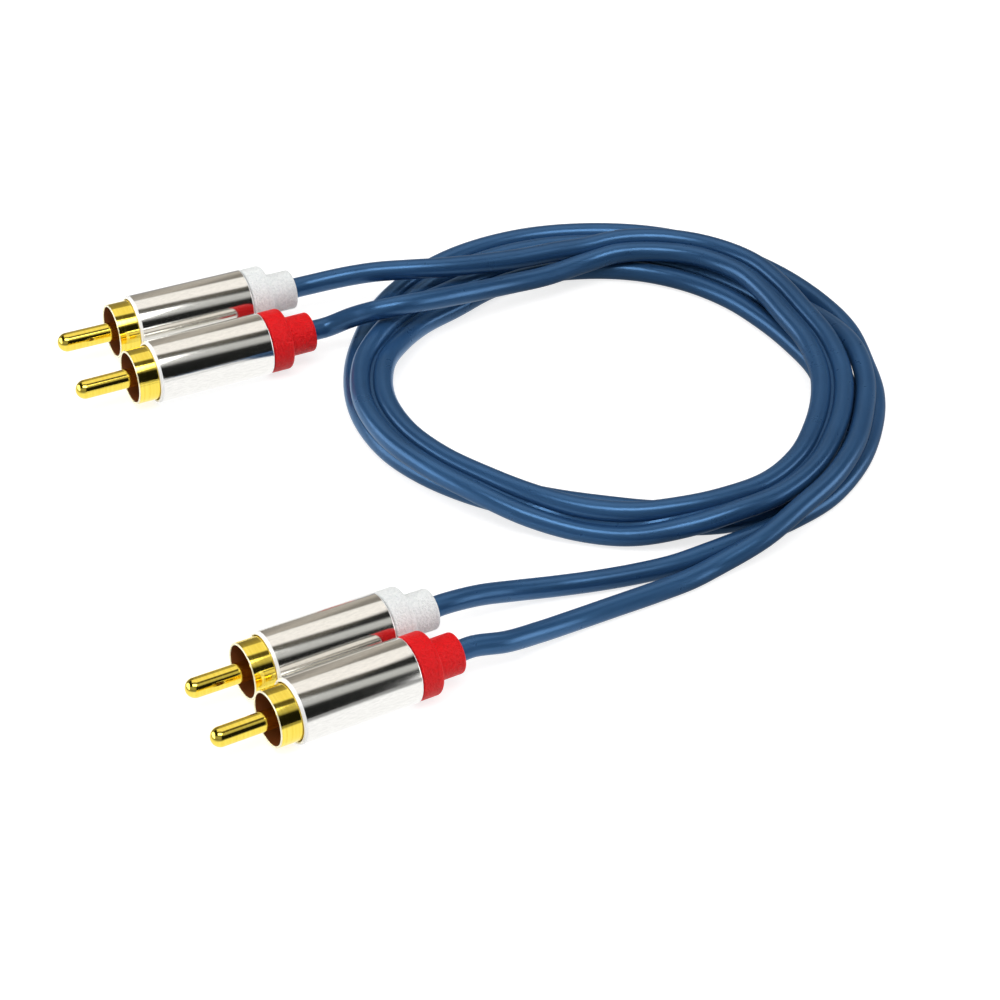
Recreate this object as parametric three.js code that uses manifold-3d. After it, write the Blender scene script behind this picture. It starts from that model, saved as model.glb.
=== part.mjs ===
// Stereo audio lead: a twin cord laid in a loose coil, with two pin plugs at each of its ends.
// Millimetres, +Z up. The plugs and the cord lie on the plane z = 0.

import * as THREE from "three";
import { mergeVertices } from "three/addons/utils/BufferGeometryUtils.js";
import Module from "manifold-3d";

const wasm = await Module();
wasm.setup();

// Outside of a plug. Stations along its axis start at the rim of the ground ring.
const PIN_DIAMETER = 3.2;
const PIN_REACH = 9.44;
const RING_DIAMETER = 9.12;
const RING_WALL = 0.38;
const RING_SHOWN = 3.58;
const BARREL_GAP = 0.17;
const BARREL_LENGTH = 20.12;
const BARREL_WALL = 0.5;
const BARREL_EDGE = 0.25;
const COLLAR_INSET = 0.08;
const COLLAR_LENGTH = 3.77;
const COLLAR_ROUND = 0.6;
const NOSE_DIAMETER = 6.66;
const NOSE_LENGTH = 4.78;
const NOSE_ROUND = 0.5;

// Inside of a plug
const INSULATOR_RECESS = 5;
const INSULATOR_LENGTH = 3.5;
const SHELL_TAIL_WALL = 1.1;
const PIN_FLANGE_WIDTH = 0.4;
const PIN_FLANGE_LENGTH = 0.5;
const CUP_DIAMETER = 2.4;
const CUP_BORE = 1.5;
const CUP_LENGTH = 2.4;
const CUP_NECK_LENGTH = 0.9;
const CUP_COVER = 0.05;
const LUG_WIDTH = 2;
const LUG_THICKNESS = 0.4;
const LUG_INSET = 0.1;
const LUG_ROOT_LENGTH = 1;
const LUG_RISE_LENGTH = 1.2;
const MOULD_GAP = 0.41;
const MOULD_LENGTH = 2.4;
const CLAW_LENGTH = 2;
const CLAW_OPENING = 40;
const SLEEVE_GAP = 0.7;

// Cord
const CORD_DIAMETER = 3.4;
const CORD_SIDES = 8;
const TWIN_GAP = 0.35;
const DIELECTRIC_DIAMETER = 1.7;
const CONDUCTOR_DIAMETER = 0.8;
const BRAID_DIAMETER = 0.7;
const BRAID_LENGTH = 1.35;
const BRAID_SAG = 0.25;

// Clearance between pieces seated in each other, and round the cord
const SEAT = 0.15;
const CLEAR = 0.3;

// Facets round the outer and the inner pieces
const OUTER_SIDES = 28;
const INNER_SIDES = 16;

// Sizes that follow from the pieces inside
const BARREL_DIAMETER = RING_DIAMETER + 2 * (BARREL_GAP + BARREL_WALL);
const COLLAR_DIAMETER = BARREL_DIAMETER - 2 * COLLAR_INSET;
const TWIN_PITCH = CORD_DIAMETER + TWIN_GAP;

// Stations along the plug's axis
const BARREL_REAR = RING_SHOWN + BARREL_LENGTH;
const COLLAR_REAR = BARREL_REAR + COLLAR_LENGTH;
const PLUG_REAR = COLLAR_REAR + NOSE_LENGTH;
const INSULATOR_REAR = INSULATOR_RECESS + INSULATOR_LENGTH;
const SHELL_SHOULDER = INSULATOR_REAR + 2 * SEAT;
const CUP_REAR = INSULATOR_REAR + SEAT + PIN_FLANGE_LENGTH + CUP_NECK_LENGTH + CUP_LENGTH;
const SHELL_REAR = CUP_REAR + CUP_COVER;
const MOULD_FRONT = SHELL_REAR + CLEAR;
const MOULD_REAR = MOULD_FRONT + MOULD_LENGTH;
const BRAID_FRONT = MOULD_REAR + CLEAR + BRAID_DIAMETER / 2;
const BRAID_REAR = BRAID_FRONT + BRAID_LENGTH;
const JACKET_END = BRAID_REAR + CLEAR;
const CLAW_FRONT = JACKET_END + CLEAR;
const CLAW_REAR = CLAW_FRONT + CLAW_LENGTH;
const LUG_BEND = CLAW_FRONT - LUG_RISE_LENGTH;
const SLEEVE_FRONT = CLAW_REAR + SLEEVE_GAP;

// Where each pair of plugs lies: middle of the white one's rim, the gap between the two barrels
// there, how far forward the red one lies, and how far the rears are turned from +X
const UPPER_X = -25.52;
const UPPER_Y = 45.89;
const UPPER_GAP = 3.457;
const UPPER_STAGGER = 1.707;
const UPPER_WHITE_TURN = 23.4;
const UPPER_RED_TURN = 24.85;
const LOWER_X = 0.57;
const LOWER_Y = -44.74;
const LOWER_GAP = 1.568;
const LOWER_STAGGER = 1.694;
const LOWER_WHITE_TURN = 28.75;
const LOWER_RED_TURN = 29.89;
const PLUGS = [
  { end: "upper_white", colour: "white", rim: [UPPER_X, UPPER_Y], turn: UPPER_WHITE_TURN },
  {
    end: "upper_red",
    colour: "red",
    rim: beside([UPPER_X, UPPER_Y], UPPER_WHITE_TURN, UPPER_GAP, UPPER_STAGGER),
    turn: UPPER_RED_TURN,
  },
  { end: "lower_white", colour: "white", rim: [LOWER_X, LOWER_Y], turn: LOWER_WHITE_TURN },
  {
    end: "lower_red",
    colour: "red",
    rim: beside([LOWER_X, LOWER_Y], LOWER_WHITE_TURN, LOWER_GAP, LOWER_STAGGER),
    turn: LOWER_RED_TURN,
  },
];

// Leads between the plugs and the twin cord, as points on the middle of each strand
const UPPER_WHITE_LEAD = [
  [13.1, 61.1, 6.1], [18.2, 61.2, 7], [23.8, 61.5, 7.3], [30, 62.8, 6.9],
  [36.8, 65.1, 6.2], [42.8, 67.2, 5.8], [48.8, 69.4, 5.7],
];
const UPPER_RED_LEAD = [
  [14.8, 47.5, 7.1], [18.9, 46.9, 8.85], [23.2, 47.8, 9.3], [28.8, 51.1, 8.3],
  [34.7, 55.4, 6.8], [41.1, 59.9, 5.4], [47.2, 63.4, 4.7],
];
const LOWER_WHITE_LEAD = [
  [66.4, -13.8, 1.7], [60.5, -16, 1.7], [54.2, -17.9, 1.8], [48, -19.5, 2],
  [41.7, -21.8, 2.9], [36.3, -24.7, 4.3],
];
const LOWER_RED_LEAD = [
  [69.1, -17.3, 1.7], [63.5, -20.7, 1.7], [57.2, -24.2, 1.7], [51, -27.9, 1.9],
  [45.5, -32, 2.8], [40.3, -36.3, 4.3],
];

// Twin cord round the middle of the coil: angle in degrees, radius and height of the web
// between the strands, and how far the white strand is rolled up from the outer side.
const COIL_MIDDLE = [57.4, 36.7];
const TWIN = [
  [96, 32.8, 5.1, 11], [86, 34.6, 5.6, 6], [75, 36.4, 5.45, 6], [63, 37.2, 5.5, 2],
  [50, 37, 5.5, 2], [38, 35.6, 5.45, 0], [25, 34.6, 5.5, 0], [10, 35.4, 5.5, 0],
  [-5, 36.7, 5.5, 0], [-18, 38, 5.5, 0], [-30, 39.65, 5.5, 0], [-42, 41.85, 5.45, 0],
  [-54, 43.4, 5.45, 0], [-65, 43.4, 5.3, -4], [-75, 43.2, 4.7, -22], [-86, 42.4, 3.7, -52],
  [-97, 41.2, 3.5, -56], [-109, 40.4, 4.3, -32], [-122, 39.7, 5.1, -10], [-136, 39.8, 5.4, 0],
  [-150, 40.2, 5.5, 0], [-165, 40, 5.5, 0], [-180, 38.8, 5.3, 4], [-193, 37.1, 4.7, 22],
  [-206, 36, 3.6, 30], [-220, 35.2, 2.2, 16], [-235, 35.4, 1.75, 0], [-250, 35.6, 1.7, 0],
  [-265, 35.3, 1.7, 0], [-280, 35, 1.7, 0], [-295, 34.5, 1.7, 0], [-310, 34, 1.7, 0],
  [-325, 33.8, 1.7, 0], [-340, 34.7, 1.7, 0], [-355, 36.75, 1.7, 0], [-370, 38.4, 1.7, 0],
  [-385, 39.8, 1.7, 0], [-398, 41.2, 1.7, 0], [-411, 42.1, 1.7, 0], [-424, 41.55, 1.7, 0],
  [-438, 38.9, 1.7, 0], [-453, 36.7, 1.7, 0], [-468, 36.2, 1.7, 0], [-483, 36.9, 1.7, 0],
  [-498, 38.2, 1.7, 0], [-512, 39.5, 1.7, 0], [-527, 40.2, 1.7, 0], [-542, 40.5, 1.7, 0],
  [-557, 41, 1.7, 0], [-570, 42.1, 1.7, 0], [-583, 42.9, 1.7, 0], [-597, 43.4, 1.7, 0],
  [-612, 43.4, 1.7, 0], [-627, 43, 1.7, 0], [-642, 42.7, 1.7, 0], [-657, 42, 1.7, 0],
  [-672, 41.4, 1.7, 0], [-687, 41.2, 1.8, -3], [-700, 41.6, 2.6, -29], [-713, 42.1, 3.35, -60],
  [-726, 43.25, 3.4, -62], [-739, 44.35, 3.4, -66], [-751, 46, 3.55, -78], [-763, 47.7, 3.6, -94],
  [-773, 48.6, 3.4, -116], [-783, 49.8, 2.6, -152], [-793, 51.5, 1.8, -178],
];

const MATERIALS = {
  gold: new THREE.MeshStandardMaterial({ color: 0xd9ab35, roughness: 0.25, metalness: 1 }),
  steel: new THREE.MeshStandardMaterial({ color: 0xb9b6b0, roughness: 0.35, metalness: 1 }),
  brown: new THREE.MeshStandardMaterial({ color: 0x4a2408, roughness: 0.5, metalness: 0 }),
  white: new THREE.MeshStandardMaterial({ color: 0xf0f0f2, roughness: 0.6, metalness: 0 }),
  red: new THREE.MeshStandardMaterial({ color: 0xd8121a, roughness: 0.6, metalness: 0 }),
  mould: new THREE.MeshStandardMaterial({ color: 0xdedbd0, roughness: 0.5, metalness: 0 }),
  copper: new THREE.MeshStandardMaterial({ color: 0xc0764a, roughness: 0.4, metalness: 1 }),
  blue: new THREE.MeshStandardMaterial({ color: 0x3e628f, roughness: 0.35, metalness: 0 }),
};

function radians(degrees) {
  return (degrees * Math.PI) / 180;
}

// Rim of the plug that lies at the right of another, a gap away and shifted forward
function beside([x, y], turn, gap, stagger) {
  const [along, across] = [radians(turn), BARREL_DIAMETER + gap];
  return [
    x + across * Math.sin(along) - stagger * Math.cos(along),
    y - across * Math.cos(along) - stagger * Math.sin(along),
  ];
}

// Volume inside a mesh, negative when its faces point in
function signedVolume(geometry) {
  const corners = geometry.getAttribute("position");
  const index = geometry.getIndex();
  const [a, b, c] = [new THREE.Vector3(), new THREE.Vector3(), new THREE.Vector3()];
  let volume = 0;
  for (let i = 0; i < index.count; i += 3) {
    a.fromBufferAttribute(corners, index.getX(i));
    b.fromBufferAttribute(corners, index.getX(i + 1));
    c.fromBufferAttribute(corners, index.getX(i + 2));
    volume += a.dot(b.cross(c)) / 6;
  }
  return volume;
}

// Welds a geometry into one closed surface with its faces pointing out
function closed(geometry) {
  geometry.deleteAttribute("normal");
  geometry.deleteAttribute("uv");
  const welded = mergeVertices(geometry, 1e-4);
  const index = welded.getIndex();
  const kept = [];
  for (let i = 0; i < index.count; i += 3) {
    const [a, b, c] = [index.getX(i), index.getX(i + 1), index.getX(i + 2)];
    if (a !== b && b !== c && c !== a) kept.push(a, b, c);
  }
  welded.setIndex(kept);
  if (signedVolume(welded) < 0) welded.setIndex(kept.reverse());
  return welded;
}

function solid(geometry) {
  const welded = closed(geometry);
  const vertProperties = new Float32Array(welded.getAttribute("position").array);
  const triVerts = new Uint32Array(welded.getIndex().array);
  return new wasm.Manifold(new wasm.Mesh({ numProp: 3, vertProperties, triVerts }));
}

function geometryOf(manifold) {
  const mesh = manifold.getMesh();
  const geometry = new THREE.BufferGeometry();
  geometry.setAttribute("position", new THREE.BufferAttribute(mesh.vertProperties, 3));
  geometry.setIndex(new THREE.BufferAttribute(mesh.triVerts, 1));
  return geometry;
}

// Turns a profile of [radius, station] corners round the X axis, with a corner straight up
function turned(profile, sides) {
  const corners = profile.map(([radius, station]) => new THREE.Vector2(radius, station));
  return closed(new THREE.LatheGeometry(corners, sides).rotateZ(-Math.PI / 2));
}

// The same for a profile that closes on itself instead of meeting the axis
function turnedRing(profile, sides) {
  return turned([...profile, profile[0]], sides);
}

// Corners of a quarter round from one angle to another, in degrees from the radial direction
function arc(radius, station, size, from, to, steps) {
  const corners = [];
  for (let i = 0; i <= steps; i++) {
    const angle = radians(from + ((to - from) * i) / steps);
    corners.push([radius + size * Math.cos(angle), station + size * Math.sin(angle)]);
  }
  return corners;
}

// Tube of round section with one step from each point of its route to the next
function tube(points, diameter, sides) {
  const route = new THREE.CatmullRomCurve3(points, false, "centripetal");
  route.getPointAt = route.getPoint;
  route.getTangentAt = route.getTangent;
  const section = new THREE.Shape();
  for (let i = 0; i < sides; i++) {
    const angle = (2 * Math.PI * (i + 0.5)) / sides;
    const corner = [(Math.cos(angle) * diameter) / 2, (Math.sin(angle) * diameter) / 2];
    if (i === 0) section.moveTo(...corner);
    else section.lineTo(...corner);
  }
  const steps = points.length - 1;
  return closed(new THREE.ExtrudeGeometry(section, { steps, extrudePath: route }));
}

// Gold signal pin: round tip, flange behind the insulator and a cup for the conductor
function centrePin() {
  const radius = PIN_DIAMETER / 2;
  const flangeFront = INSULATOR_REAR + SEAT;
  const flangeRear = flangeFront + PIN_FLANGE_LENGTH;
  const cupFront = flangeRear + CUP_NECK_LENGTH;
  const tip = arc(0, radius - PIN_REACH, radius, -90, 0, 5);
  tip[0][0] = 0;
  return turned([
    ...tip,
    [radius, flangeFront],
    [radius + PIN_FLANGE_WIDTH, flangeFront],
    [radius + PIN_FLANGE_WIDTH, flangeRear],
    [CUP_BORE / 2 + 0.1, flangeRear],
    [CUP_BORE / 2 + 0.1, cupFront],
    [CUP_DIAMETER / 2, cupFront],
    [CUP_DIAMETER / 2, CUP_REAR],
    [CUP_BORE / 2, CUP_REAR],
    [CUP_BORE / 2, cupFront + CLEAR],
    [0, cupFront + CLEAR],
  ], INNER_SIDES);
}

// Brown bush that holds the pin in the middle of the shell
function insulator() {
  const bore = PIN_DIAMETER / 2 + SEAT;
  const outside = RING_DIAMETER / 2 - RING_WALL - SEAT;
  return turnedRing([
    [bore, INSULATOR_RECESS],
    [outside, INSULATOR_RECESS],
    [outside, INSULATOR_REAR],
    [bore, INSULATOR_REAR],
  ], INNER_SIDES);
}

// Lug that runs back from the shell under the moulding and rises to the cord
function lugStrip() {
  const low = -RING_DIAMETER / 2 + LUG_INSET;
  const high = -CORD_DIAMETER / 2 - CLEAR - LUG_THICKNESS;
  const side = new THREE.Shape();
  side.moveTo(SHELL_REAR - LUG_ROOT_LENGTH, low);
  side.lineTo(LUG_BEND, low);
  side.lineTo(CLAW_FRONT + LUG_THICKNESS, high);
  side.lineTo(CLAW_REAR, high);
  side.lineTo(CLAW_REAR, high + LUG_THICKNESS);
  side.lineTo(CLAW_FRONT, high + LUG_THICKNESS);
  side.lineTo(LUG_BEND - LUG_THICKNESS / 2, low + LUG_THICKNESS);
  side.lineTo(SHELL_REAR - LUG_ROOT_LENGTH, low + LUG_THICKNESS);
  const strip = new THREE.ExtrudeGeometry(side, { depth: LUG_WIDTH, bevelEnabled: false });
  return strip.rotateX(Math.PI / 2).translate(0, LUG_WIDTH / 2, 0);
}

// Crimp claws bent round the jacket, open at the top
function claws() {
  const inner = CORD_DIAMETER / 2 + CLEAR;
  const outer = inner + LUG_THICKNESS;
  const half = radians(CLAW_OPENING / 2);
  const band = new THREE.Shape();
  band.absarc(0, 0, outer, Math.PI / 2 + half, (5 * Math.PI) / 2 - half, false);
  band.absarc(0, 0, inner, (5 * Math.PI) / 2 - half, Math.PI / 2 + half, true);
  const bent = new THREE.ExtrudeGeometry(band, {
    depth: CLAW_LENGTH, bevelEnabled: false, curveSegments: 12,
  });
  return bent.rotateX(Math.PI / 2).rotateZ(Math.PI / 2).translate(CLAW_FRONT, 0, 0);
}

// Gold ground shell: the ring that shows, its shouldered tail, the lug and the crimp claws
function groundShell() {
  const outside = RING_DIAMETER / 2;
  const inside = outside - RING_WALL;
  const tailInside = outside - SHELL_TAIL_WALL;
  const body = turnedRing([
    [inside, 0],
    [outside - 0.05, 0],
    [outside, 0.1],
    [outside, SHELL_REAR],
    [tailInside, SHELL_REAR],
    [tailInside, SHELL_SHOULDER],
    [inside, SHELL_SHOULDER],
  ], OUTER_SIDES);
  return geometryOf(solid(body).add(solid(lugStrip())).add(solid(claws())));
}

// Brushed metal sleeve, bevelled at both edges
function barrel() {
  const outside = BARREL_DIAMETER / 2;
  const inside = outside - BARREL_WALL;
  return turnedRing([
    [inside, RING_SHOWN],
    [outside - BARREL_EDGE, RING_SHOWN],
    [outside, RING_SHOWN + BARREL_EDGE],
    [outside, BARREL_REAR - BARREL_EDGE],
    [outside - BARREL_EDGE, BARREL_REAR],
    [inside, BARREL_REAR],
  ], OUTER_SIDES);
}

// Soft boot: sleeve inside the barrel, collar behind it and nose round the cord
function boot() {
  const bore = CORD_DIAMETER / 2 + CLEAR;
  const sleeve = BARREL_DIAMETER / 2 - BARREL_WALL - SEAT;
  const collar = COLLAR_DIAMETER / 2;
  const nose = NOSE_DIAMETER / 2;
  const collarFront = BARREL_REAR + SEAT;
  return turnedRing([
    [bore, SLEEVE_FRONT],
    [sleeve, SLEEVE_FRONT],
    [sleeve, collarFront],
    [collar, collarFront],
    ...arc(collar - COLLAR_ROUND, COLLAR_REAR - COLLAR_ROUND, COLLAR_ROUND, 0, 90, 3),
    [nose, COLLAR_REAR],
    ...arc(nose - NOSE_ROUND, PLUG_REAR - NOSE_ROUND, NOSE_ROUND, 0, 90, 3),
    [bore, PLUG_REAR],
  ], OUTER_SIDES);
}

// Pale moulding behind the solder joint, round the dielectric
function innerMould() {
  const bore = DIELECTRIC_DIAMETER / 2 + CLEAR;
  const outside = RING_DIAMETER / 2 - LUG_INSET - LUG_THICKNESS - MOULD_GAP;
  return turnedRing([
    [bore, MOULD_FRONT],
    [outside, MOULD_FRONT],
    [outside, MOULD_REAR],
    [bore, MOULD_REAR],
  ], INNER_SIDES);
}

function rod(diameter, from, to, sides) {
  const radius = diameter / 2;
  return turned([[0, from], [radius, from], [radius, to], [0, to]], sides);
}

// Insulated core between the jacket and the moulding
function dielectric() {
  return rod(DIELECTRIC_DIAMETER, SHELL_REAR + 2 * CLEAR, BRAID_REAR, 12);
}

// Bared copper end that stands in the cup of the pin
function conductor() {
  const cupFloor = CUP_REAR - CUP_LENGTH + CLEAR;
  return rod(CONDUCTOR_DIAMETER, cupFloor + CLEAR, SHELL_REAR + CLEAR, CORD_SIDES);
}

// Braid gathered under the core and led down to the lug
function shieldTail() {
  const top = -DIELECTRIC_DIAMETER / 2 - CLEAR - BRAID_DIAMETER / 2;
  const lugTop = -RING_DIAMETER / 2 + LUG_INSET + LUG_THICKNESS;
  const bottom = lugTop + SEAT + BRAID_DIAMETER / 2;
  const middle = (BRAID_FRONT + BRAID_REAR) / 2;
  return tube([
    new THREE.Vector3(BRAID_REAR, 0, top),
    new THREE.Vector3(middle, 0, top - BRAID_SAG),
    new THREE.Vector3(BRAID_FRONT + BRAID_SAG, 0, (top + bottom) / 2),
    new THREE.Vector3(BRAID_FRONT, 0, bottom),
  ], BRAID_DIAMETER, CORD_SIDES);
}

const PIECES = [
  { name: "centre_pin", shape: centrePin, material: "gold" },
  { name: "insulator", shape: insulator, material: "brown" },
  { name: "ground_shell", shape: groundShell, material: "gold" },
  { name: "barrel", shape: barrel, material: "steel" },
  { name: "boot", shape: boot, material: null },
  { name: "inner_mould", shape: innerMould, material: "mould" },
  { name: "dielectric", shape: dielectric, material: "mould" },
  { name: "conductor", shape: conductor, material: "copper" },
  { name: "shield_tail", shape: shieldTail, material: "copper" },
];

// One plug, lying on its barrel
function plug({ end, colour, rim, turn }) {
  const group = new THREE.Group();
  for (const { name, shape, material } of PIECES) {
    const mesh = new THREE.Mesh(shape(), MATERIALS[material ?? colour]);
    mesh.name = `${end}_${name}`;
    group.add(mesh);
  }
  group.position.set(rim[0], rim[1], BARREL_DIAMETER / 2);
  group.rotation.z = radians(turn);
  return group;
}

// Point on a plug's axis
function onAxis({ rim, turn }, station) {
  const x = rim[0] + station * Math.cos(radians(turn));
  const y = rim[1] + station * Math.sin(radians(turn));
  return new THREE.Vector3(x, y, BARREL_DIAMETER / 2);
}

// Straight run of the cord through a boot and just out of it
function insidePlug(which) {
  const stations = [JACKET_END, (JACKET_END + PLUG_REAR) / 2, PLUG_REAR, PLUG_REAR + 3];
  return stations.map((station) => onAxis(which, station));
}

// Middle of one strand of the twin cord; side is 1 for white and -1 for red
function twinStrand(side) {
  return TWIN.map(([angle, radius, height, roll]) => {
    const out = radius + ((side * TWIN_PITCH) / 2) * Math.cos(radians(roll));
    const x = COIL_MIDDLE[0] + out * Math.cos(radians(angle));
    const y = COIL_MIDDLE[1] + out * Math.sin(radians(angle));
    return new THREE.Vector3(x, y, height + ((side * TWIN_PITCH) / 2) * Math.sin(radians(roll)));
  });
}

function strand(name, side, upperPlug, upperLead, lowerLead, lowerPlug) {
  const points = [
    ...insidePlug(upperPlug),
    ...upperLead.map((point) => new THREE.Vector3(...point)),
    ...twinStrand(side),
    ...lowerLead.map((point) => new THREE.Vector3(...point)),
    ...insidePlug(lowerPlug).reverse(),
  ];
  const mesh = new THREE.Mesh(tube(points, CORD_DIAMETER, CORD_SIDES), MATERIALS.blue);
  mesh.name = name;
  return mesh;
}

const lead = new THREE.Group();
PLUGS.forEach((which) => lead.add(plug(which)));
lead.add(strand("white_strand", 1, PLUGS[0], UPPER_WHITE_LEAD, LOWER_WHITE_LEAD, PLUGS[2]));
lead.add(strand("red_strand", -1, PLUGS[1], UPPER_RED_LEAD, LOWER_RED_LEAD, PLUGS[3]));

export default lead;
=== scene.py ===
"""Stereo audio lead: twin cord in a loose coil with two pin plugs at each end, on a pale floor."""

import math

import bmesh
import bpy
from mathutils import Matrix, Vector


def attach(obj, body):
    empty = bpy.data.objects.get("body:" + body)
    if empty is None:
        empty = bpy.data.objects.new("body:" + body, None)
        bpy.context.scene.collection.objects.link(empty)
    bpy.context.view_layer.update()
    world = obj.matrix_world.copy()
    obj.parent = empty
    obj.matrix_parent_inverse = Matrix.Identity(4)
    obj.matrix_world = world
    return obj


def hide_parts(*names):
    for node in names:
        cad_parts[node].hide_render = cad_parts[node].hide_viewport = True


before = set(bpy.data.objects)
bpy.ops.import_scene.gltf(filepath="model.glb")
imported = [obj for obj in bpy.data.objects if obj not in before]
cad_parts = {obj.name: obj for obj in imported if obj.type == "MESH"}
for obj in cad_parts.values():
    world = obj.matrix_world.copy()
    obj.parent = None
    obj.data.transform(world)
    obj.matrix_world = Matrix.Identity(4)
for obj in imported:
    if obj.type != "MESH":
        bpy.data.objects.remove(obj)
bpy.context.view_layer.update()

MM = 0.001

# Camera: above the floor, looking along +Y; lens and sensor in mm, clip range in metres
CAMERA_TARGET = Vector((39.4, 5.7, 0)) * MM
CAMERA_ELEVATION = math.radians(36.6)
CAMERA_DISTANCE = 705 * MM
CAMERA_LENS = 158.1
CAMERA_SENSOR = 36
CAMERA_CLIP = (0.01, 20)

# Outside of a plug, in mm, with stations measured back from the rim of its ground ring
PIN_RADIUS = 1.6
PIN_REACH = 9.44
RING_RADIUS = 4.56
RING_WALL = 0.38
BARREL_FRONT = 3.58
BARREL_REAR = 23.7
BARREL_RADIUS = 5.23
BARREL_WALL = 0.5
COLLAR_REAR = 27.47
COLLAR_RADIUS = 5.15
NOSE_RADIUS = 3.33
PLUG_REAR = 32.25

# Inside of a plug, in mm, with the opening between the claws in degrees
INSULATOR_FRONT = 5.0
INSULATOR_REAR = 8.5
SHELL_SHOULDER = 8.8
SHELL_REAR = 12.5
SHELL_TAIL_RADIUS = 3.46
FLANGE_RADIUS = 2.0
FLANGE_REAR = 9.15
CUP_FRONT = 10.05
CUP_FLOOR = 10.35
CUP_REAR = 12.45
CUP_RADIUS = 1.2
CUP_BORE = 0.75
CUP_NECK = 0.85
LUG_BEND = 16.6
LUG_HALF_WIDTH = 1.0
LUG_INSET = 0.1
LUG_ROOT = 1
STRAP = 0.4
CLAW_FRONT = 17.8
CLAW_REAR = 19.8
CLAW_OPENING = 40
SLEEVE_FRONT = 20.5
JACKET_END = 17.5
SEAT = 0.15

# Where the looks change on a plug, in mm: outside of the pin, past the painted highlight on the
# gold ring's rim, under the skin of its bore, which holds painted shade, and at the painted
# highlights on the edges of the barrel
PIN_CLEARANCE = 1.4
RIM_HIGHLIGHT_DEPTH = 0.13
BORE_SKIN = 0.06
FRONT_HIGHLIGHT = 0.5
REAR_HIGHLIGHT = 0.16
PAST_END = 1

# Cord, in mm; it runs on its plug's axis a little way past the plug's rear
CORD_RADIUS = 1.7
EXIT_RUN = 3
CORD_BORE = 2.0
TWIN_PITCH = 3.75
WEB_THICKNESS = 0.8
WEB_BITE = 0.35

# Where each plug lies: middle of its ring's rim in mm, and how far its rear turns from +X
PLUGS = {
    "upper_white": ((-25.52, 45.89), 23.4),
    "upper_red": ((-21.56, 32.44), 24.85),
    "lower_white": ((0.57, -44.74), 28.75),
    "lower_red": ((4.87, -56.1), 29.89),
}

# Leads between the plugs and the twin cord, as points on the middle of each strand, in mm
UPPER_WHITE_LEAD = [
    (13.1, 61.1, 6.1), (18.2, 61.2, 7), (23.8, 61.5, 7.3), (30, 62.8, 6.9),
    (36.8, 65.1, 6.2), (42.8, 67.2, 5.8), (48.8, 69.4, 5.7),
]
UPPER_RED_LEAD = [
    (14.8, 47.5, 7.1), (18.9, 46.9, 8.85), (23.2, 47.8, 9.3), (28.8, 51.1, 8.3),
    (34.7, 55.4, 6.8), (41.1, 59.9, 5.4), (47.2, 63.4, 4.7),
]
LOWER_WHITE_LEAD = [
    (66.4, -13.8, 1.7), (60.5, -16, 1.7), (54.2, -17.9, 1.8), (48, -19.5, 2),
    (41.7, -21.8, 2.9), (36.3, -24.7, 4.3),
]
LOWER_RED_LEAD = [
    (69.1, -17.3, 1.7), (63.5, -20.7, 1.7), (57.2, -24.2, 1.7), (51, -27.9, 1.9),
    (45.5, -32, 2.8), (40.3, -36.3, 4.3),
]

# Twin cord round the middle of the coil: angle in degrees, radius and height of the web in mm,
# and how far the white strand is rolled up from the outer side, in degrees
COIL_MIDDLE = (57.4, 36.7)
TWIN = [
    (96, 32.8, 5.1, 11), (86, 34.6, 5.6, 6), (75, 36.4, 5.45, 6), (63, 37.2, 5.5, 2),
    (50, 37, 5.5, 2), (38, 35.6, 5.45, 0), (25, 34.6, 5.5, 0), (10, 35.4, 5.5, 0),
    (-5, 36.7, 5.5, 0), (-18, 38, 5.5, 0), (-30, 39.65, 5.5, 0), (-42, 41.85, 5.45, 0),
    (-54, 43.4, 5.45, 0), (-65, 43.4, 5.3, -4), (-75, 43.2, 4.7, -22), (-86, 42.4, 3.7, -52),
    (-97, 41.2, 3.5, -56), (-109, 40.4, 4.3, -32), (-122, 39.7, 5.1, -10), (-136, 39.8, 5.4, 0),
    (-150, 40.2, 5.5, 0), (-165, 40, 5.5, 0), (-180, 38.8, 5.3, 4), (-193, 37.1, 4.7, 22),
    (-206, 36, 3.6, 30), (-220, 35.2, 2.2, 16), (-235, 35.4, 1.75, 0), (-250, 35.6, 1.7, 0),
    (-265, 35.3, 1.7, 0), (-280, 35, 1.7, 0), (-295, 34.5, 1.7, 0), (-310, 34, 1.7, 0),
    (-325, 33.8, 1.7, 0), (-340, 34.7, 1.7, 0), (-355, 36.75, 1.7, 0), (-370, 38.4, 1.7, 0),
    (-385, 39.8, 1.7, 0), (-398, 41.2, 1.7, 0), (-411, 42.1, 1.7, 0), (-424, 41.55, 1.7, 0),
    (-438, 38.9, 1.7, 0), (-453, 36.7, 1.7, 0), (-468, 36.2, 1.7, 0), (-483, 36.9, 1.7, 0),
    (-498, 38.2, 1.7, 0), (-512, 39.5, 1.7, 0), (-527, 40.2, 1.7, 0), (-542, 40.5, 1.7, 0),
    (-557, 41, 1.7, 0), (-570, 42.1, 1.7, 0), (-583, 42.9, 1.7, 0), (-597, 43.4, 1.7, 0),
    (-612, 43.4, 1.7, 0), (-627, 43, 1.7, 0), (-642, 42.7, 1.7, 0), (-657, 42, 1.7, 0),
    (-672, 41.4, 1.7, 0), (-687, 41.2, 1.8, -3), (-700, 41.6, 2.6, -29), (-713, 42.1, 3.35, -60),
    (-726, 43.25, 3.4, -62), (-739, 44.35, 3.4, -66), (-751, 46, 3.55, -78), (-763, 47.7, 3.6, -94),
    (-773, 48.6, 3.4, -116), (-783, 49.8, 2.6, -152), (-793, 51.5, 1.8, -178),
]

# Middles of the upper and the lower pair of plugs on the floor, and how far from them the
# floor turns from painted light to painted shade, as bounce and reflections see it, in mm
PAIR_MIDDLES = ((-9, 47, 0), (18, -42, 0))
PAINTED_LIGHT_RADIUS = 36
PAINTED_LIGHT_FADE = 58
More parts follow.
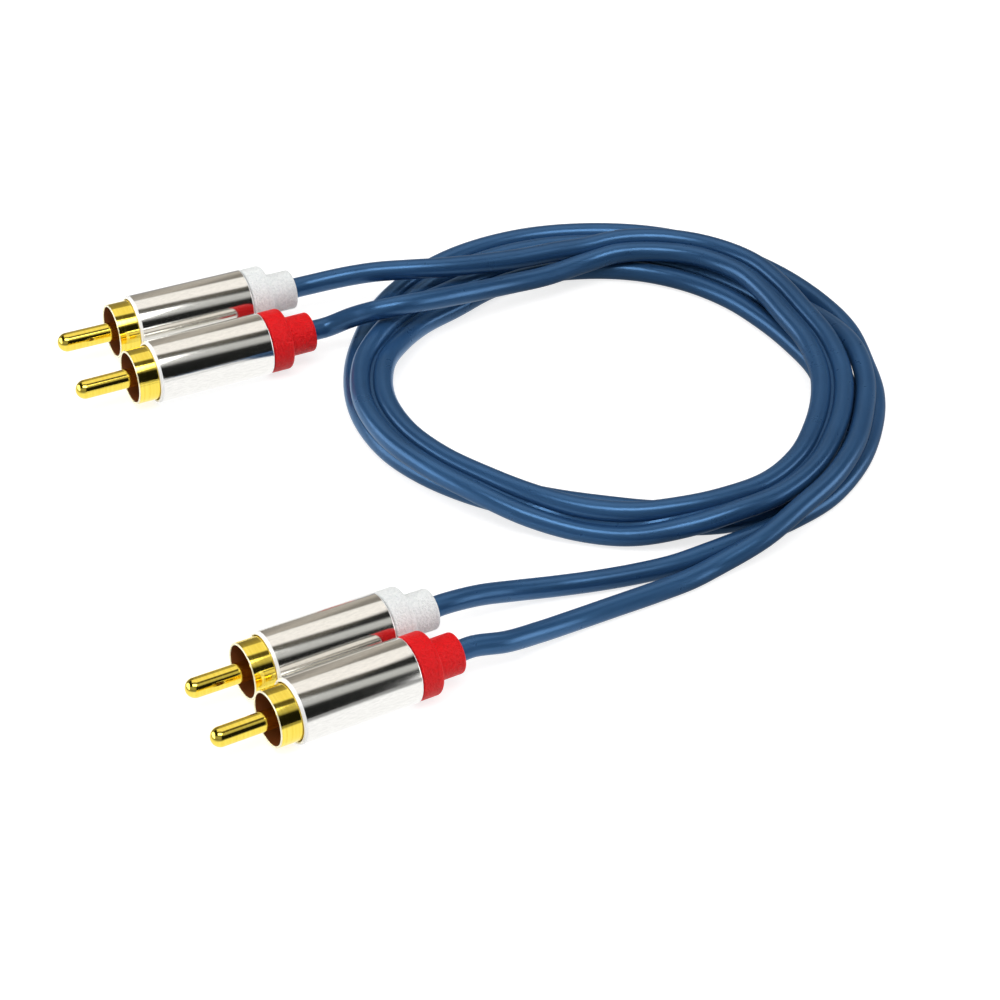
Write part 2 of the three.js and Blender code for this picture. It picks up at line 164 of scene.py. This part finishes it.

# Floor: size in metres, strength of its glow, and how brightly it lights and mirrors away from
# the plugs, as painted shade, and near them, as painted light
FLOOR_SIZE = 6
FLOOR_GLOW = 0.76
LIT_LEVELS = (0.2, 0.75)
MIRRORED_LEVELS = (0.35, 1.1)

# Fineness of the meshes, and the angle in degrees from which an edge stays sharp
STEPS_PER_SPAN = 8
STRAND_BEVEL = 8
OUTER_SIDES = 96
INNER_SIDES = 48
CLAW_STEPS = 28
SHARP_ANGLE = 32

scene = bpy.context.scene
scene.view_settings.view_transform = "Standard"


# Camera

def make_camera():
    data = bpy.data.cameras.new("camera")
    data.lens = CAMERA_LENS
    data.sensor_width = CAMERA_SENSOR
    data.clip_start, data.clip_end = CAMERA_CLIP
    camera = bpy.data.objects.new("camera", data)
    scene.collection.objects.link(camera)
    back = Vector((0, -math.cos(CAMERA_ELEVATION), math.sin(CAMERA_ELEVATION)))
    camera.location = CAMERA_TARGET + back * CAMERA_DISTANCE
    camera.rotation_euler = (-back).to_track_quat("-Z", "Y").to_euler()
    scene.camera = camera


make_camera()


# Node helpers

def link(tree, a, b):
    tree.links.new(a, b)


def add(tree, kind, **settings):
    node = tree.nodes.new(kind)
    for key, value in settings.items():
        if key in node.inputs:
            node.inputs[key].default_value = value
        else:
            setattr(node, key, value)
    return node


def new_material(name):
    material = bpy.data.materials.new(name)
    material.use_nodes = True
    return material, material.node_tree, material.node_tree.nodes["Principled BSDF"]


def stretched(tree, scale):
    """Coordinates of the piece, scaled apart along its own axes."""
    coordinates = add(tree, "ShaderNodeTexCoord")
    mapping = add(tree, "ShaderNodeMapping")
    mapping.inputs["Scale"].default_value = scale
    link(tree, coordinates.outputs["Object"], mapping.inputs["Vector"])
    return mapping.outputs["Vector"]


def noise(tree, vector, scale, detail=4.0, roughness=0.5):
    node = add(tree, "ShaderNodeTexNoise", Scale=scale, Detail=detail, Roughness=roughness)
    link(tree, vector, node.inputs["Vector"])
    return node.outputs["Fac"]


def ramp(tree, factor, stops):
    """Linear colour ramp over (position, colour) stops."""
    node = add(tree, "ShaderNodeValToRGB")
    elements = node.color_ramp.elements
    while len(elements) < len(stops):
        elements.new(0.5)
    for element, (position, colour) in zip(elements, stops):
        element.position = position
        element.color = (*colour, 1)
    link(tree, factor, node.inputs["Fac"])
    return node.outputs["Color"]


def spread(tree, factor, low, high):
    """Maps a 0 to 1 factor onto a range."""
    node = add(tree, "ShaderNodeMapRange")
    node.inputs["To Min"].default_value = low
    node.inputs["To Max"].default_value = high
    link(tree, factor, node.inputs["Value"])
    return node.outputs["Result"]


def bump(tree, shader, height, strength, distance):
    """Raises the surface with the height; the distance is in metres."""
    node = add(tree, "ShaderNodeBump")
    node.inputs["Strength"].default_value = strength
    node.inputs["Distance"].default_value = distance
    link(tree, height, node.inputs["Height"])
    link(tree, node.outputs["Normal"], shader.inputs["Normal"])


def arithmetic(tree, operation, *operands):
    node = add(tree, "ShaderNodeMath", operation=operation)
    for socket, operand in zip(node.inputs, operands):
        if isinstance(operand, (int, float)):
            socket.default_value = operand
        else:
            link(tree, operand, socket)
    return node.outputs[0]


def near_stations(tree, start, end):
    """1 on the part of a plug between two stations along its axis, in mm, and 0 elsewhere."""
    coordinates = add(tree, "ShaderNodeTexCoord")
    parts = add(tree, "ShaderNodeSeparateXYZ")
    link(tree, coordinates.outputs["Object"], parts.inputs["Vector"])
    after = arithmetic(tree, "GREATER_THAN", parts.outputs["X"], start * MM)
    before = arithmetic(tree, "LESS_THAN", parts.outputs["X"], end * MM)
    return arithmetic(tree, "MULTIPLY", after, before)


def off_axis(tree, radius):
    """1 on the part of a plug that is further than a radius in mm from its axis."""
    coordinates = stretched(tree, (0, 1, 1))
    length = add(tree, "ShaderNodeVectorMath", operation="LENGTH")
    link(tree, coordinates, length.inputs[0])
    return arithmetic(tree, "GREATER_THAN", length.outputs["Value"], radius * MM)


def blend(tree, factor, colour, other):
    """Mixes a colour socket towards a plain colour."""
    node = add(tree, "ShaderNodeMix", data_type="RGBA")
    link(tree, factor, node.inputs["Factor"])
    link(tree, colour, node.inputs[6])
    node.inputs[7].default_value = (*other, 1)
    return node.outputs[2]


# Materials

def jacket_material():
    """Pearly blue vinyl with a satin gloss, slight clouds in its colour and small pimples."""
    material, tree, shader = new_material("jacket")
    place = stretched(tree, (1, 1, 1))
    cloud = noise(tree, place, scale=60, detail=3)
    haze = noise(tree, place, scale=350)
    pimples = noise(tree, place, scale=1400, detail=3)
    colour = ramp(tree, cloud, [(0.3, (0.02, 0.066, 0.162)), (0.7, (0.028, 0.09, 0.214))])
    link(tree, colour, shader.inputs["Base Color"])
    link(tree, spread(tree, haze, 0.24, 0.34), shader.inputs["Roughness"])
    shader.inputs["Metallic"].default_value = 0.35
    shader.inputs["Specular IOR Level"].default_value = 0.9
    shader.inputs["Specular Tint"].default_value = (0.4, 0.7, 1, 1)
    bump(tree, shader, pimples, strength=0.22, distance=0.00006)
    return material


def gold_material():
    """Gold plate over turned brass, with faint turning rings, a painted highlight on the rim, which
    is pale and less metallic, and painted shade in the bore inside the ring, which is a dull brown."""
    material, tree, shader = new_material("gold")
    turning = noise(tree, stretched(tree, (2600, 60, 60)), scale=1, detail=2)
    colour = ramp(tree, turning, [(0.25, (0.88, 0.66, 0.08)), (0.75, (0.98, 0.78, 0.14))])
    off_pin = off_axis(tree, PIN_RADIUS + PIN_CLEARANCE)
    # painted highlight: the rim of the ring is paler and less metallic than the gold
    rim_highlight = arithmetic(tree, "MULTIPLY", near_stations(tree, -PAST_END, RIM_HIGHLIGHT_DEPTH), off_pin)
    # painted shade: the bore inside the ring is a dull brown, rougher and less metallic
    wall = off_axis(tree, RING_RADIUS - RING_WALL + BORE_SKIN)
    inside_wall = arithmetic(tree, "SUBTRACT", off_pin, wall)
    behind_rim = near_stations(tree, RIM_HIGHLIGHT_DEPTH, SHELL_SHOULDER)
    bore = arithmetic(tree, "MULTIPLY", inside_wall, behind_rim)
    with_rim_highlight = blend(tree, rim_highlight, colour, (1, 0.93, 0.66))
    link(tree, blend(tree, bore, with_rim_highlight, (0.2, 0.055, 0.012)), shader.inputs["Base Color"])
    less_metal = arithmetic(tree, "MAXIMUM", rim_highlight, bore)
    link(tree, spread(tree, less_metal, 1, 0.35), shader.inputs["Metallic"])
    sheen = spread(tree, turning, 0.06, 0.14)
    dulled = arithmetic(tree, "MULTIPLY_ADD", bore, 0.35, sheen)
    link(tree, dulled, shader.inputs["Roughness"])
    bump(tree, shader, turning, strength=0.12, distance=0.00002)
    return material


def steel_material():
    """Brushed nickel: fine broken lines along the barrel, a soft grain across the bands and
    a painted highlight at each end, a pale and nearly non-metallic edge."""
    material, tree, shader = new_material("brushed_steel")
    grain = noise(tree, stretched(tree, (900, 4200, 4200)), scale=1, detail=3, roughness=0.7)
    speck = noise(tree, stretched(tree, (1, 1, 1)), scale=5200, detail=2, roughness=0.8)
    colour = ramp(tree, grain, [(0.25, (0.8, 0.79, 0.76)), (0.75, (0.92, 0.91, 0.88))])
    # painted highlight: pale, nearly non-metallic bands at the barrel's front and rear edges
    front = near_stations(tree, BARREL_FRONT - PAST_END, BARREL_FRONT + FRONT_HIGHLIGHT)
    rear = near_stations(tree, BARREL_REAR - REAR_HIGHLIGHT, BARREL_REAR + PAST_END)
    edge = arithmetic(tree, "MAXIMUM", front, rear)
    link(tree, blend(tree, edge, colour, (0.97, 0.97, 0.97)), shader.inputs["Base Color"])
    link(tree, spread(tree, edge, 1, 0.12), shader.inputs["Metallic"])
    link(tree, spread(tree, grain, 0.08, 0.17), shader.inputs["Roughness"])
    bump(tree, shader, speck, strength=0.1, distance=0.00002)
    return material


def boot_material(name, dark, light):
    """Moulded soft plastic with a sand-blasted grain."""
    material, tree, shader = new_material(name)
    grit = noise(tree, stretched(tree, (1, 1, 1)), scale=2600, detail=3, roughness=0.7)
    link(tree, ramp(tree, grit, [(0.3, dark), (0.7, light)]), shader.inputs["Base Color"])
    link(tree, spread(tree, grit, 0.36, 0.56), shader.inputs["Roughness"])
    shader.inputs["Specular IOR Level"].default_value = 0.25
    bump(tree, shader, grit, strength=0.9, distance=0.0004)
    return material


def plain_material(name, dark, light, roughness, metallic=0.0, scale=900):
    """Small inner pieces: slight mottling and roughness that varies with it."""
    material, tree, shader = new_material(name)
    shader.inputs["Metallic"].default_value = metallic
    mottle = noise(tree, stretched(tree, (1, 1, 1)), scale=scale, detail=3)
    link(tree, ramp(tree, mottle, [(0.3, dark), (0.7, light)]), shader.inputs["Base Color"])
    link(tree, spread(tree, mottle, roughness - 0.06, roughness + 0.08), shader.inputs["Roughness"])
    bump(tree, shader, mottle, strength=0.15, distance=0.00004)
    return material


JACKET = jacket_material()
GOLD = gold_material()
STEEL = steel_material()
WHITE = boot_material("boot_white", (0.72, 0.75, 0.76), (0.9, 0.92, 0.92))
RED = boot_material("boot_red", (0.64, 0.0008, 0.003), (0.82, 0.002, 0.006))
BROWN = plain_material("insulator", (0.06, 0.018, 0.004), (0.1, 0.032, 0.007), roughness=0.42)
MOULDING = plain_material("moulding", (0.66, 0.63, 0.55), (0.76, 0.73, 0.66), roughness=0.4)
COPPER = plain_material(
    "copper", (0.7, 0.33, 0.18), (0.86, 0.45, 0.28), roughness=0.32, metallic=1.0, scale=3000,
)


# Cords

def on_axis(end, station):
    """Place of a station on a plug's axis, in mm."""
    (x, y), turn = PLUGS[end]
    along = Vector((math.cos(math.radians(turn)), math.sin(math.radians(turn)), 0))
    return Vector((x, y, BARREL_RADIUS)) + along * station


def inside_plug(end):
    """Points of a cord on its plug's axis, from the jacket's end to a little past the rear."""
    stations = (JACKET_END, (JACKET_END + PLUG_REAR) / 2, PLUG_REAR, PLUG_REAR + EXIT_RUN)
    return [on_axis(end, station) for station in stations]


def twin_strand(side):
    """Middle of one strand of the twin cord; side is 1 for white and -1 for red."""
    points = []
    for angle, radius, height, roll in TWIN:
        turn, tilt = math.radians(angle), math.radians(roll)
        out = radius + side * TWIN_PITCH / 2 * math.cos(tilt)
        x = COIL_MIDDLE[0] + out * math.cos(turn)
        y = COIL_MIDDLE[1] + out * math.sin(turn)
        points.append(Vector((x, y, height + side * TWIN_PITCH / 2 * math.sin(tilt))))
    return points


def smooth_route(points, steps):
    """Centripetal Catmull-Rom curve through the points, with so many steps to each span."""
    ends = [2 * points[0] - points[1], *points, 2 * points[-1] - points[-2]]
    route = []
    for i in range(1, len(ends) - 2):
        a, b, c, d = ends[i - 1:i + 3]
        t1 = (b - a).length ** 0.5
        t2 = t1 + (c - b).length ** 0.5
        t3 = t2 + (d - c).length ** 0.5
        for k in range(steps):
            t = t1 + (t2 - t1) * k / steps
            ab = a.lerp(b, t / t1)
            bc = b.lerp(c, (t - t1) / (t2 - t1))
            cd = c.lerp(d, (t - t2) / (t3 - t2))
            abc = ab.lerp(bc, t / t2)
            bcd = bc.lerp(cd, (t - t1) / (t3 - t1))
            route.append(abc.lerp(bcd, (t - t1) / (t2 - t1)))
    route.append(points[-1])
    return route


def make_strand(name, route):
    data = bpy.data.curves.new(name, "CURVE")
    data.dimensions = "3D"
    data.bevel_depth = CORD_RADIUS * MM
    data.bevel_resolution = STRAND_BEVEL
    data.use_fill_caps = True
    spline = data.splines.new("POLY")
    spline.points.add(len(route) - 1)
    for point, place in zip(spline.points, route):
        point.co = (*(place * MM), 1)
    spline.use_smooth = True
    strand = bpy.data.objects.new(name, data)
    scene.collection.objects.link(strand)
    data.materials.append(JACKET)
    return strand


def strand_points(side, upper, upper_lead, lower_lead, lower):
    return [
        *inside_plug(upper),
        *[Vector(p) for p in upper_lead],
        *twin_strand(side),
        *[Vector(p) for p in lower_lead],
        *reversed(inside_plug(lower)),
    ]


WHITE_ROUTE = smooth_route(
    strand_points(1, "upper_white", UPPER_WHITE_LEAD, LOWER_WHITE_LEAD, "lower_white"),
    STEPS_PER_SPAN,
)
RED_ROUTE = smooth_route(
    strand_points(-1, "upper_red", UPPER_RED_LEAD, LOWER_RED_LEAD, "lower_red"),
    STEPS_PER_SPAN,
)
white_strand = make_strand("white_strand_fine", WHITE_ROUTE)
red_strand = make_strand("red_strand_fine", RED_ROUTE)


def new_piece(name, mesh, material):
    piece = bpy.data.objects.new(name, mesh)
    scene.collection.objects.link(piece)
    mesh.materials.append(material)
    return piece


def make_web():
    """Thin web that joins the two strands between the tears at the ends of the twin cord."""
    first = (len(inside_plug("upper_white")) + len(UPPER_WHITE_LEAD)) * STEPS_PER_SPAN
    last = first + (len(TWIN) - 1) * STEPS_PER_SPAN
    shape = bmesh.new()
    rings = []
    for i in range(first, last + 1):
        across = WHITE_ROUTE[i] - RED_ROUTE[i]
        middle = (WHITE_ROUTE[i] + RED_ROUTE[i]) / 2
        along = (WHITE_ROUTE[i + 1] - WHITE_ROUTE[i - 1]).normalized()
        up = across.normalized().cross(along).normalized() * WEB_THICKNESS / 2
        wide = across.normalized() * (across.length / 2 - CORD_RADIUS + WEB_BITE)
        corners = (middle + wide + up, middle - wide + up, middle - wide - up, middle + wide - up)
        rings.append([shape.verts.new(corner * MM) for corner in corners])
    for near, far in zip(rings, rings[1:]):
        for k in range(4):
            shape.faces.new((near[k], near[(k + 1) % 4], far[(k + 1) % 4], far[k]))
    shape.faces.new(rings[0][::-1])
    shape.faces.new(rings[-1])
    bmesh.ops.recalc_face_normals(shape, faces=shape.faces)
    mesh = bpy.data.meshes.new("web")
    shape.to_mesh(mesh)
    shape.free()
    return new_piece("web", mesh, JACKET)


web = make_web()


# Plugs

def arc(radius, station, size, start, end, steps):
    """(station, radius) corners of a round; 0 degrees points outwards and 90 to the rear."""
    corners = []
    for i in range(steps + 1):
        angle = math.radians(start + (end - start) * i / steps)
        corners.append((station + size * math.sin(angle), radius + size * math.cos(angle)))
    return corners


def revolve(shape, profile, sides):
    """Turns a closed (station, radius) profile round the X axis; stations run along +X."""
    rings = []
    for station, radius in profile:
        if radius < 1e-6:
            rings.append([shape.verts.new((station * MM, 0, 0))])
            continue
        ring = []
        for k in range(sides):
            angle = 2 * math.pi * k / sides
            place = Vector((station, radius * math.cos(angle), radius * math.sin(angle)))
            ring.append(shape.verts.new(place * MM))
        rings.append(ring)
    for near, far in zip(rings, rings[1:] + rings[:1]):
        if len(near) == 1 and len(far) == 1:
            continue
        for k in range(sides):
            corners = [near[k % len(near)], far[k % len(far)]]
            corners += [far[(k + 1) % len(far)], near[(k + 1) % len(near)]]
            distinct = list(dict.fromkeys(corners))
            shape.faces.new(distinct)


def prism(shape, outline, half_width):
    """Extrudes an (x, z) outline by half a width to each side of y = 0."""
    sides = []
    for y in (-half_width, half_width):
        sides.append([shape.verts.new((x * MM, y * MM, z * MM)) for x, z in outline])
    near, far = sides
    count = len(outline)
    for k in range(count):
        shape.faces.new((near[k], near[(k + 1) % count], far[(k + 1) % count], far[k]))
    shape.faces.new(near[::-1])
    shape.faces.new(far)


def claw_band(shape, inner, outer, front, rear, opening):
    """Open band round the X axis with its gap at the top."""
    rings = []
    for i in range(CLAW_STEPS + 1):
        angle = math.radians(90 + opening / 2 + (360 - opening) * i / CLAW_STEPS)
        y, z = math.cos(angle), math.sin(angle)
        corners = ((front, inner), (front, outer), (rear, outer), (rear, inner))
        rings.append([shape.verts.new((x * MM, y * r * MM, z * r * MM)) for x, r in corners])
    for near, far in zip(rings, rings[1:]):
        for k in range(4):
            shape.faces.new((near[k], near[(k + 1) % 4], far[(k + 1) % 4], far[k]))
    shape.faces.new(rings[0][::-1])
    shape.faces.new(rings[-1])


def pin_shape(shape):
    tip = arc(0, PIN_RADIUS - PIN_REACH, PIN_RADIUS, -90, 0, 18)
    tip[0] = (-PIN_REACH, 0)
    revolve(shape, [
        *tip,
        (INSULATOR_REAR + SEAT, PIN_RADIUS),
        (INSULATOR_REAR + SEAT, FLANGE_RADIUS),
        (FLANGE_REAR, FLANGE_RADIUS),
        (FLANGE_REAR, CUP_NECK),
        (CUP_FRONT, CUP_NECK),
        (CUP_FRONT, CUP_RADIUS),
        (CUP_REAR, CUP_RADIUS),
        (CUP_REAR, CUP_BORE),
        (CUP_FLOOR, CUP_BORE),
        (CUP_FLOOR, 0),
    ], INNER_SIDES)


def insulator_shape(shape):
    bore, outside = PIN_RADIUS + SEAT, RING_RADIUS - RING_WALL - SEAT
    recess, recess_width, edge = 0.3, 0.45, 0.2
    lip = bore + recess_width + recess
    revolve(shape, [
        (INSULATOR_FRONT + recess, bore),
        (INSULATOR_FRONT + recess, bore + recess_width),
        *arc(lip, INSULATOR_FRONT + edge, edge, -180, -90, 3),
        *arc(outside - edge, INSULATOR_FRONT + edge, edge, -90, 0, 3),
        (INSULATOR_REAR, outside),
        (INSULATOR_REAR, bore),
    ], OUTER_SIDES)


def shell_shape(shape):
    inside = RING_RADIUS - RING_WALL
    bore_edge, rim_edge = 0.1, 0.12
    revolve(shape, [
        *arc(inside + bore_edge, bore_edge, bore_edge, -180, -90, 4),
        *arc(RING_RADIUS - rim_edge, rim_edge, rim_edge, -90, 0, 5),
        (SHELL_REAR, RING_RADIUS),
        (SHELL_REAR, SHELL_TAIL_RADIUS),
        (SHELL_SHOULDER, SHELL_TAIL_RADIUS),
        (SHELL_SHOULDER, inside),
    ], OUTER_SIDES)
    low, high = -RING_RADIUS + LUG_INSET, -CORD_BORE - STRAP
    root = SHELL_REAR - LUG_ROOT
    prism(shape, [
        (root, low), (LUG_BEND, low), (CLAW_FRONT + STRAP, high), (CLAW_REAR, high),
        (CLAW_REAR, high + STRAP), (CLAW_FRONT, high + STRAP), (LUG_BEND - STRAP / 2, low + STRAP),
        (root, low + STRAP),
    ], LUG_HALF_WIDTH)
    claw_band(shape, CORD_BORE, CORD_BORE + STRAP, CLAW_FRONT, CLAW_REAR, CLAW_OPENING)


def barrel_shape(shape):
    inside = BARREL_RADIUS - BARREL_WALL
    bore_edge, lip, rear_edge = 0.1, 0.36, 0.2
    revolve(shape, [
        *arc(inside + bore_edge, BARREL_FRONT + bore_edge, bore_edge, -180, -90, 3),
        *arc(BARREL_RADIUS - lip, BARREL_FRONT + lip, lip, -90, 0, 8),
        *arc(BARREL_RADIUS - rear_edge, BARREL_REAR - rear_edge, rear_edge, 0, 90, 5),
        (BARREL_REAR, inside),
    ], OUTER_SIDES)


def boot_shape(shape):
    sleeve = BARREL_RADIUS - BARREL_WALL - SEAT
    front = BARREL_REAR + SEAT
    sleeve_edge, collar_edge, shoulder = 0.2, 0.22, 0.6
    crease, nose_edge, mouth = 0.35, 0.5, 0.25
    revolve(shape, [
        (SLEEVE_FRONT, CORD_BORE),
        *arc(sleeve - sleeve_edge, SLEEVE_FRONT + sleeve_edge, sleeve_edge, -90, 0, 3),
        (front, sleeve),
        *arc(COLLAR_RADIUS - collar_edge, front + collar_edge, collar_edge, -90, 0, 6),
        *arc(COLLAR_RADIUS - shoulder, COLLAR_REAR - shoulder, shoulder, 0, 90, 9),
        *arc(NOSE_RADIUS + crease, COLLAR_REAR + crease, crease, -90, -180, 5),
        *arc(NOSE_RADIUS - nose_edge, PLUG_REAR - nose_edge, nose_edge, 0, 90, 8),
        *arc(CORD_BORE + mouth, PLUG_REAR - mouth, mouth, 90, 180, 4),
    ], OUTER_SIDES)


def plug_piece(end, node, draw, material):
    """One turned piece of a plug, lying on the plug's axis, in place of its CAD node."""
    shape = bmesh.new()
    draw(shape)
    bmesh.ops.recalc_face_normals(shape, faces=shape.faces)
    mesh = bpy.data.meshes.new(f"{end}_{node}_fine")
    shape.to_mesh(mesh)
    shape.free()
    mesh.shade_smooth()
    mesh.set_sharp_from_angle(angle=math.radians(SHARP_ANGLE))
    piece = new_piece(f"{end}_{node}_fine", mesh, material)
    (x, y), turn = PLUGS[end]
    place = Matrix.Translation(Vector((x, y, BARREL_RADIUS)) * MM)
    piece.matrix_world = place @ Matrix.Rotation(math.radians(turn), 4, "Z")
    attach(piece, "root")
    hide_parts(f"{end}_{node}")
    return piece


def make_plug(end):
    red = end.endswith("red")
    boot, boot_slot = (RED, "boot_red") if red else (WHITE, "boot_white")
    return [
        plug_piece(end, "centre_pin", pin_shape, GOLD),
        plug_piece(end, "insulator", insulator_shape, BROWN),
        plug_piece(end, "ground_shell", shell_shape, GOLD),
        plug_piece(end, "barrel", barrel_shape, STEEL),
        plug_piece(end, "boot", boot_shape, boot),
    ]


plugs = {end: make_plug(end) for end in PLUGS}


# Inner pieces keep their CAD shapes

INNER = {
    "inner_mould": MOULDING,
    "dielectric": MOULDING,
    "conductor": COPPER,
    "shield_tail": COPPER,
}
for end in PLUGS:
    for node, material in INNER.items():
        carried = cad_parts[f"{end}_{node}"]
        carried.data.materials.clear()
        carried.data.materials.append(material)


# Strands and web join the root body; the strands hide their CAD nodes

def declare_strand(strand, node):
    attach(strand, "root")
    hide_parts(node)


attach(web, "root")
declare_strand(white_strand, "white_strand")
declare_strand(red_strand, "red_strand")


# Floor, world and lights

def mixed(tree, factor, first, second):
    """The first shader where the factor is 0 and the second where it is 1."""
    node = add(tree, "ShaderNodeMixShader")
    link(tree, factor, node.inputs[0])
    link(tree, first, node.inputs[1])
    link(tree, second, node.inputs[2])
    return node.outputs[0]


def painted_light_near_plugs(tree):
    """1 round either pair of plugs, falling to 0 some way off, where the floor's painted light
    lies.
    """
    place = add(tree, "ShaderNodeNewGeometry").outputs["Position"]
    nearness = []
    for middle in PAIR_MIDDLES:
        gap = add(tree, "ShaderNodeVectorMath", operation="DISTANCE")
        link(tree, place, gap.inputs[0])
        gap.inputs[1].default_value = [coordinate * MM for coordinate in middle]
        fade = add(tree, "ShaderNodeMapRange")
        fade.inputs["From Min"].default_value = PAINTED_LIGHT_FADE * MM
        fade.inputs["From Max"].default_value = PAINTED_LIGHT_RADIUS * MM
        link(tree, gap.outputs["Value"], fade.inputs["Value"])
        nearness.append(fade.outputs["Result"])
    return arithmetic(tree, "MAXIMUM", *nearness)


def make_floor():
    """Pale floor that glows where it is seen, so that shadows on it stay light. Round the
    plugs it bounces and mirrors painted light, and under the coil painted shade; the camera sees
    neither."""
    shape = bmesh.new()
    bmesh.ops.create_grid(shape, x_segments=1, y_segments=1, size=FLOOR_SIZE)
    mesh = bpy.data.meshes.new("floor")
    shape.to_mesh(mesh)
    shape.free()
    material, tree, shader = new_material("floor")
    shader.inputs["Base Color"].default_value = (0.4, 0.4, 0.4, 1)
    shader.inputs["Roughness"].default_value = 0.9
    shader.inputs["Specular IOR Level"].default_value = 0
    shader.inputs["Emission Color"].default_value = (1, 1, 1, 1)
    shader.inputs["Emission Strength"].default_value = FLOOR_GLOW
    # painted light near the plugs and painted shade under the coil, seen only by bounce and
    # reflections
    painted_light = painted_light_near_plugs(tree)
    dim = add(tree, "ShaderNodeBsdfDiffuse")
    link(tree, spread(tree, painted_light, *LIT_LEVELS), dim.inputs["Color"])
    mirrored = add(tree, "ShaderNodeEmission")
    link(tree, spread(tree, painted_light, *MIRRORED_LEVELS), mirrored.inputs["Strength"])
    path = add(tree, "ShaderNodeLightPath")
    unseen = mixed(tree, path.outputs["Is Glossy Ray"], dim.outputs[0], mirrored.outputs[0])
    surface = mixed(tree, path.outputs["Is Camera Ray"], unseen, shader.outputs[0])
    link(tree, surface, tree.nodes["Material Output"].inputs["Surface"])
    floor = bpy.data.objects.new("floor", mesh)
    scene.collection.objects.link(floor)
    mesh.materials.append(material)


def scaled(tree, colour, factor):
    """Multiplies a colour by a number or by a socket."""
    node = add(tree, "ShaderNodeVectorMath", operation="SCALE")
    link(tree, colour, node.inputs[0])
    if isinstance(factor, (int, float)):
        node.inputs["Scale"].default_value = factor
    else:
        link(tree, factor, node.inputs["Scale"])
    return node.outputs[0]


def grey(level):
    return (level, level, level)


def make_world():
    """Light tent: banks of light laid out by their turn, from the far horizon (0) over the top
    to the near one (1), each as wide as its reach in x, and a bright bank at either side."""
    world = bpy.data.worlds.new("studio")
    world.use_nodes = True
    scene.world = world
    tree = world.node_tree
    background = tree.nodes["Background"]
    coordinates = add(tree, "ShaderNodeTexCoord")
    parts = add(tree, "ShaderNodeSeparateXYZ")
    link(tree, coordinates.outputs["Generated"], parts.inputs["Vector"])
    x, y, z = (parts.outputs[axis] for axis in "XYZ")
    turn = arithmetic(tree, "DIVIDE", arithmetic(tree, "ARCTAN2", z, y), math.pi)
    black, white, dark = grey(0), grey(1), (0.025, 0.027, 0.025)
    hot_level = 6.5
    walls = ramp(tree, turn, [
        (0.0, (0.5, 0.46, 0.4)), (0.225, (0.46, 0.42, 0.36)), (0.245, dark), (1.0, dark),
    ])
    overhead = ramp(tree, turn, [
        (0.23, black), (0.25, (1, 0.96, 0.9)), (0.45, (1.05, 1, 0.94)), (0.48, (0.09, 0.08, 0.06)),
        (0.57, (0.1, 0.095, 0.08)), (0.6, black),
    ])
    hot = ramp(tree, turn, [
        (0.56, black), (0.6, white), (0.67, white), (0.72, black),
    ])
    right_bank = ramp(tree, turn, [
        (0.555, black), (0.595, (0.58, 0.58, 0.56)), (0.68, (0.5, 0.5, 0.48)), (0.74, black),
    ])
    front_bank = ramp(tree, turn, [
        (0.72, black), (0.77, (0.36, 0.36, 0.35)), (0.94, (0.3, 0.3, 0.29)), (1.0, grey(0.12)),
    ])
    sideways = arithmetic(tree, "ABSOLUTE", x)
    wide = ramp(tree, sideways, [(0.42, white), (0.52, black)])
    narrow = ramp(tree, sideways, [(0.3, white), (0.4, black)])
    to_right = ramp(tree, x, [(0.3, black), (0.4, white)])
    off_right = ramp(tree, x, [(0.2, white), (0.36, black)])
    across = ramp(tree, arithmetic(tree, "MULTIPLY_ADD", x, 0.5, 0.5), [
        (0.38, grey(0.42)), (0.44, white), (0.47, white),
        (0.5, grey(0.55)), (0.54, grey(0.55)), (0.6, grey(0.38)),
    ])
    leftwards = arithmetic(tree, "MULTIPLY", x, -1)
    right_side = ramp(tree, x, [(0.85, black), (0.91, grey(3))])
    left_side = ramp(tree, leftwards, [(0.8, black), (0.88, grey(3.2))])
    banks = [
        scaled(tree, walls, across),
        scaled(tree, overhead, wide),
        scaled(tree, scaled(tree, hot, narrow), hot_level),
        scaled(tree, right_bank, to_right),
        scaled(tree, front_bank, off_right),
        right_side,
        left_side,
    ]
    total = banks[0]
    for bank in banks[1:]:
        both = add(tree, "ShaderNodeVectorMath", operation="ADD")
        link(tree, total, both.inputs[0])
        link(tree, bank, both.inputs[1])
        total = both.outputs[0]
    link(tree, total, background.inputs["Color"])
    plain = add(tree, "ShaderNodeBackground")
    plain.inputs["Color"].default_value = (1, 1, 1, 1)
    path = add(tree, "ShaderNodeLightPath")
    surface = mixed(tree, path.outputs["Is Camera Ray"], background.outputs[0], plain.outputs[0])
    link(tree, surface, tree.nodes["World Output"].inputs["Surface"])


def softbox(name, azimuth, elevation, distance, size, power):
    """Square light aimed at the middle of the lead: angles in degrees, distance and size in
    metres, power in watts. Azimuth 0 is behind the lead as the camera sees it."""
    data = bpy.data.lights.new(name, "AREA")
    data.shape = "SQUARE"
    data.size = size
    data.energy = power
    turn, rise = math.radians(azimuth), math.radians(elevation)
    flat = math.cos(rise)
    away = Vector((math.sin(turn) * flat, math.cos(turn) * flat, math.sin(rise)))
    light = bpy.data.objects.new(name, data)
    scene.collection.objects.link(light)
    light.location = CAMERA_TARGET + away * distance
    light.rotation_euler = away.to_track_quat("Z", "Y").to_euler()
    light.visible_glossy = False


make_floor()
make_world()
softbox("top", azimuth=0, elevation=84, distance=1.3, size=0.9, power=2)
softbox("left", azimuth=-80, elevation=32, distance=1.3, size=0.8, power=3)
softbox("right", azimuth=80, elevation=32, distance=1.3, size=0.8, power=3)
